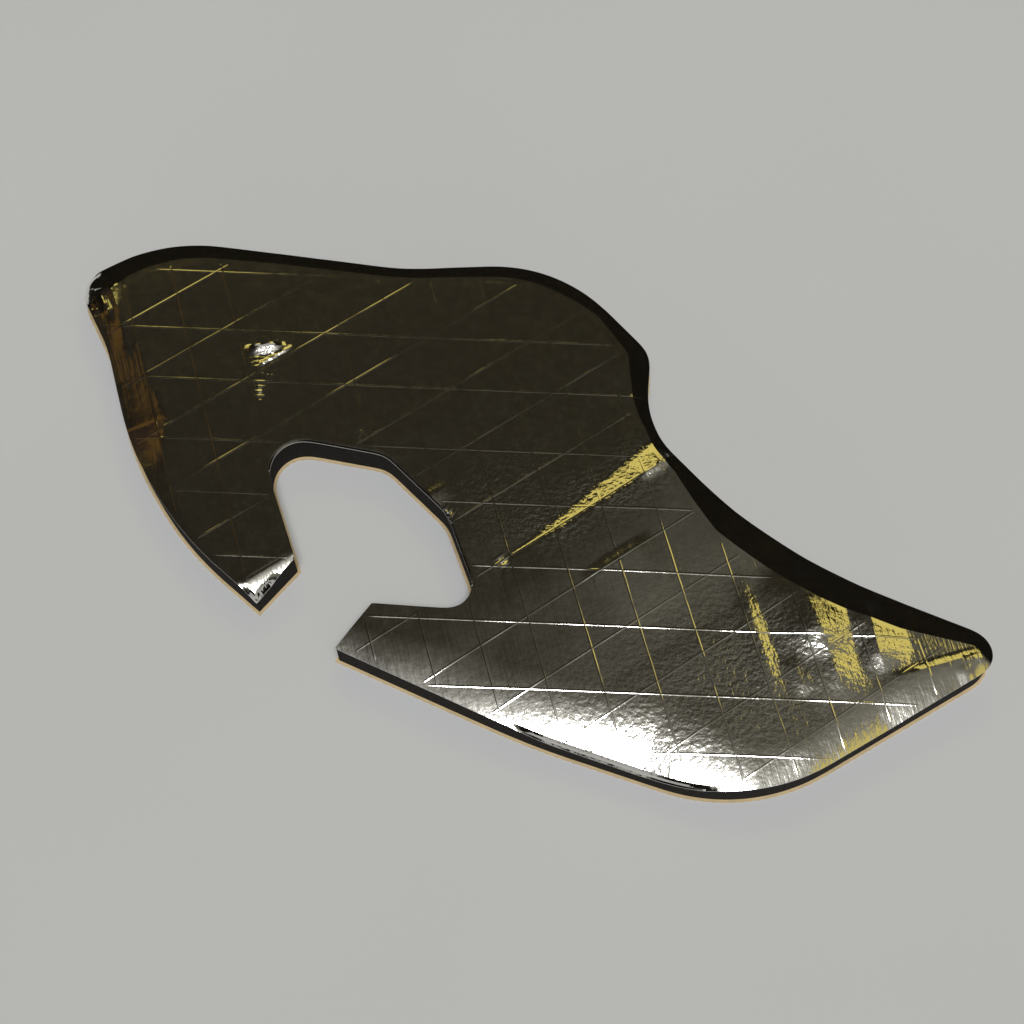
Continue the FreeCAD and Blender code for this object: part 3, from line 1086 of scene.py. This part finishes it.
def studio_world(scene):
    """A dark ceiling with soft glows, and panels and pale walls round the floor."""
    world = bpy.data.worlds.new("studio")
    world.use_nodes = True
    tree = world.node_tree
    ray = node(tree, "ShaderNodeTexCoord").outputs["Generated"]
    part = node(tree, "ShaderNodeSeparateXYZ", {0: ray})
    azimuth = math_node(tree, "ARCTAN2", part.outputs["X"], part.outputs["Y"])
    height = math_node(tree, "ARCSINE", part.outputs["Z"])
    light = DARK_CEILING
    for _, middle, edge, full, colour in SOFT_GLOWS:
        towards = node(tree, "ShaderNodeVectorMath", {
            0: ray, 1: Vector(middle).normalized()}, operation="DOT_PRODUCT").outputs["Value"]
        apart = math_node(tree, "ARCCOSINE", towards)
        angles = (math.radians(edge), math.radians(full))
        share = ranged(tree, apart, angles, (0.0, 1.0), interpolation_type="SMOOTHSTEP")
        glow = node(tree, "ShaderNodeVectorMath", {0: colour, "Scale": share}, operation="SCALE")
        light = node(tree, "ShaderNodeVectorMath", {0: light, 1: glow.outputs[0]}).outputs[0]
    for _, turn, half_turn, rise, half_rise, colour in STUDIO_PANELS:
        beside = math_node(
            tree, "COMPARE", azimuth, math.radians(turn), math.radians(half_turn))
        level = math_node(
            tree, "COMPARE", height, math.radians(rise), math.radians(half_rise))
        inside = math_node(tree, "MULTIPLY", beside, level)
        mixed = node(tree, "ShaderNodeMix", {"Factor": inside}, data_type="RGBA")
        tree.links.new(light, mixed.inputs["A"])
        mixed.inputs["B"].default_value = (*colour, 1.0)
        light = mixed.outputs["Result"]
    tree.links.new(light, tree.nodes["Background"].inputs["Color"])
    scene.world = world


def pad_camera(stage):
    """The camera above the pad's front, aimed near the middle of its foot."""
    data = bpy.data.cameras.new("camera")
    data.sensor_width = SENSOR_WIDTH
    data.lens = stage.lens
    data.clip_start = CLIP_START
    camera = bpy.data.objects.new("camera", data)
    aim = Vector((*CAMERA_AIM, 0.0))
    rise = stage.camera_elevation
    back = Vector((0.0, -math.cos(rise), math.sin(rise)))
    camera.location = aim + back * stage.camera_distance
    camera.rotation_euler = (math.pi / 2 - rise, 0.0, 0.0)
    bpy.context.scene.collection.objects.link(camera)
    return camera


class PAD_OT_release_paper(bpy.types.Operator):
    """Make the release paper under the pad"""
    bl_idname = "heat_pad.release_paper"
    bl_label = "Release paper"

    def execute(self, context):
        paper = context.scene.pad_paper
        outline = Outline("release_liner")
        wander = np.sin(np.arange(len(outline.points)) * RAGGED_RATE)
        ragged = paper.raggedness / MM * wander
        points, faces = triangulated(outline.grown(ragged), np.empty((0, 2)))
        top = np.full(len(points), PAPER_TOP)
        vertices, slab = closed_slab(points, faces, top, np.zeros(len(points)))
        piece = add_piece("release_paper", vertices, slab, paper_finish(paper))
        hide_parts("release_liner")
        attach(piece, BODY)
        return {"FINISHED"}


class PAD_OT_foam(bpy.types.Operator):
    """Make the foam core with its cut wall"""
    bl_idname = "heat_pad.foam"
    bl_label = "Foam core"

    def execute(self, context):
        outline = Outline("foam_core")
        rim = rim_profile(outline)
        thickness = context.scene.pad_foil.thickness / MM
        inner = hex_points(outline, FOAM_GRID, FOAM_INSET)
        points, faces = triangulated(outline.points, inner)
        under = foil_height(points, outline, rim) - thickness
        sink = FOAM_SINK * eased(outline.nearest(points)[1], *FOAM_SINK_DEPTHS)
        top = np.maximum(under - sink, FOAM_BOTTOM + THINNEST_FOAM)
        vertices, slab = closed_slab(points, faces, top, np.full(len(points), FOAM_BOTTOM))
        piece = add_piece("foam", vertices, slab, foam_finish(context.scene.pad_foam))
        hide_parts("foam_core")
        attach(piece, BODY)
        return {"FINISHED"}


class PAD_OT_foil(bpy.types.Operator):
    """Make the foil facing with its rolled rim and folds"""
    bl_idname = "heat_pad.foil"
    bl_label = "Foil facing"

    def execute(self, context):
        foil = context.scene.pad_foil
        outline = Outline("foam_core")
        rim = rim_profile(outline)
        boundary = outline.grown(foil.overhang / MM)
        grid = foil.grid / MM
        rings = []
        for depth in RIM_RINGS:
            rings.append(inner_ring(outline, np.full(len(outline.points), depth)))
        starts = inner_ring(outline, np.maximum(rim[:, 0], NARROWEST_ROLL))
        lines = split_runs(starts, 3 * OUTLINE_STEP) + crest_lines(outline, grid)
        taken = np.concatenate((*rings, *lines))
        fine = clear_of(fine_points(outline), taken, POINT_GAP * FINE_STEP)
        even = clear_of(hex_points(outline, grid, GRID_INSET), taken, POINT_GAP * grid)
        even = clear_of(even, fine, POINT_GAP * grid)
        points, faces = triangulated(boundary, np.concatenate((*rings, fine, even)), lines)
        top = foil_height(points, outline, rim)
        vertices, slab = closed_slab(points, faces, top, top - foil.thickness / MM)
        piece = add_piece("foil", vertices, slab, foil_finish(foil), CREASE_TURN)
        crinkle = crinkle_share(points) * off_far_roll(points, outline, rim)
        raised = ridge_share(points, outline, rim)
        for name, share in ((CRINKLE, crinkle), (RIDGE_SHARE, raised)):
            values = piece.data.attributes.new(name, "FLOAT", "POINT")
            values.data.foreach_set("value", np.tile(share, 2))
        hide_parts("foil_facing")
        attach(piece, BODY)
        return {"FINISHED"}


class PAD_OT_yarns(bpy.types.Operator):
    """Raise the foil over the three families of reinforcing yarns"""
    bl_idname = "heat_pad.yarns"
    bl_label = "Yarn ridges"

    def execute(self, context):
        yarns = context.scene.pad_yarns
        foil = bpy.data.objects["foil"]
        tree = yarn_tree()
        mesh = bpy.data.meshes.new("yarn_ridges")
        piece = bpy.data.objects.new("yarn_ridges", mesh)
        context.scene.collection.objects.link(piece)
        for name, pitch, angle, offset, stagger, lift, head, evenness, lean in YARN_FAMILIES:
            values = {
                "Foil": foil, "Material": foil.data.materials[0],
                "Pitch": getattr(yarns, pitch), "Angle": angle, "Offset": offset * MM,
                "Stagger": stagger * MM, "Width": yarns.width, "Height": yarns.height * lift,
                "Head share": head, "Evenness": evenness, "Lean": lean, "Seed": yarns.seed}
            modifier = piece.modifiers.new(name, "NODES")
            modifier.node_group = tree
            for item in tree.interface.items_tree:
                if item.name in values:
                    modifier[item.identifier] = values[item.name]
        made_flat(context, piece)
        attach(piece, BODY)
        return {"FINISHED"}


class PAD_OT_stage(bpy.types.Operator):
    """Set up the floor, the light and the camera"""
    bl_idname = "heat_pad.stage"
    bl_label = "Stage"

    def execute(self, context):
        stage = context.scene.pad_stage
        context.scene.view_settings.view_transform = "Standard"
        bpy.ops.mesh.primitive_circle_add(
            vertices=FLOOR_SIDES, radius=stage.floor_radius, fill_type="NGON")
        floor = context.object
        floor.name = "floor"
        floor.data.materials.append(floor_finish(stage))
        studio_world(context.scene)
        key_light(stage)
        context.scene.camera = pad_camera(stage)
        return {"FINISHED"}


class PAD_PT_panel(bpy.types.Panel):
    """Lists the pad's pieces and their sizes"""
    bl_idname = "PAD_PT_panel"
    bl_label = "Heat insulation pad"
    bl_space_type = "VIEW_3D"
    bl_region_type = "UI"
    bl_category = "Heat pad"

    def draw(self, context):
        for operator, group in STEPS:
            self.layout.operator(operator.bl_idname)
            sizes = getattr(context.scene, group)
            for name in sizes.__annotations__:
                self.layout.prop(sizes, name)


GROUPS = {
    "pad_paper": PaperSizes,
    "pad_foam": FoamSizes,
    "pad_foil": FoilSizes,
    "pad_yarns": YarnSizes,
    "pad_stage": StageSizes,
}
STEPS = (
    (PAD_OT_release_paper, "pad_paper"),
    (PAD_OT_foam, "pad_foam"),
    (PAD_OT_foil, "pad_foil"),
    (PAD_OT_yarns, "pad_yarns"),
    (PAD_OT_stage, "pad_stage"),
)


def register():
    for name, group in GROUPS.items():
        bpy.utils.register_class(group)
        setattr(bpy.types.Scene, name, PointerProperty(type=group))
    for operator, _ in STEPS:
        bpy.utils.register_class(operator)
    bpy.utils.register_class(PAD_PT_panel)


def unregister():
    bpy.utils.unregister_class(PAD_PT_panel)
    for operator, _ in reversed(STEPS):
        bpy.utils.unregister_class(operator)
    for name, group in reversed(GROUPS.items()):
        delattr(bpy.types.Scene, name)
        bpy.utils.unregister_class(group)


def main():
    register()
    bpy.ops.heat_pad.release_paper()
    bpy.ops.heat_pad.foam()
    bpy.ops.heat_pad.foil()
    bpy.ops.heat_pad.yarns()
    bpy.ops.heat_pad.stage()


if __name__ == "__main__":
    main()
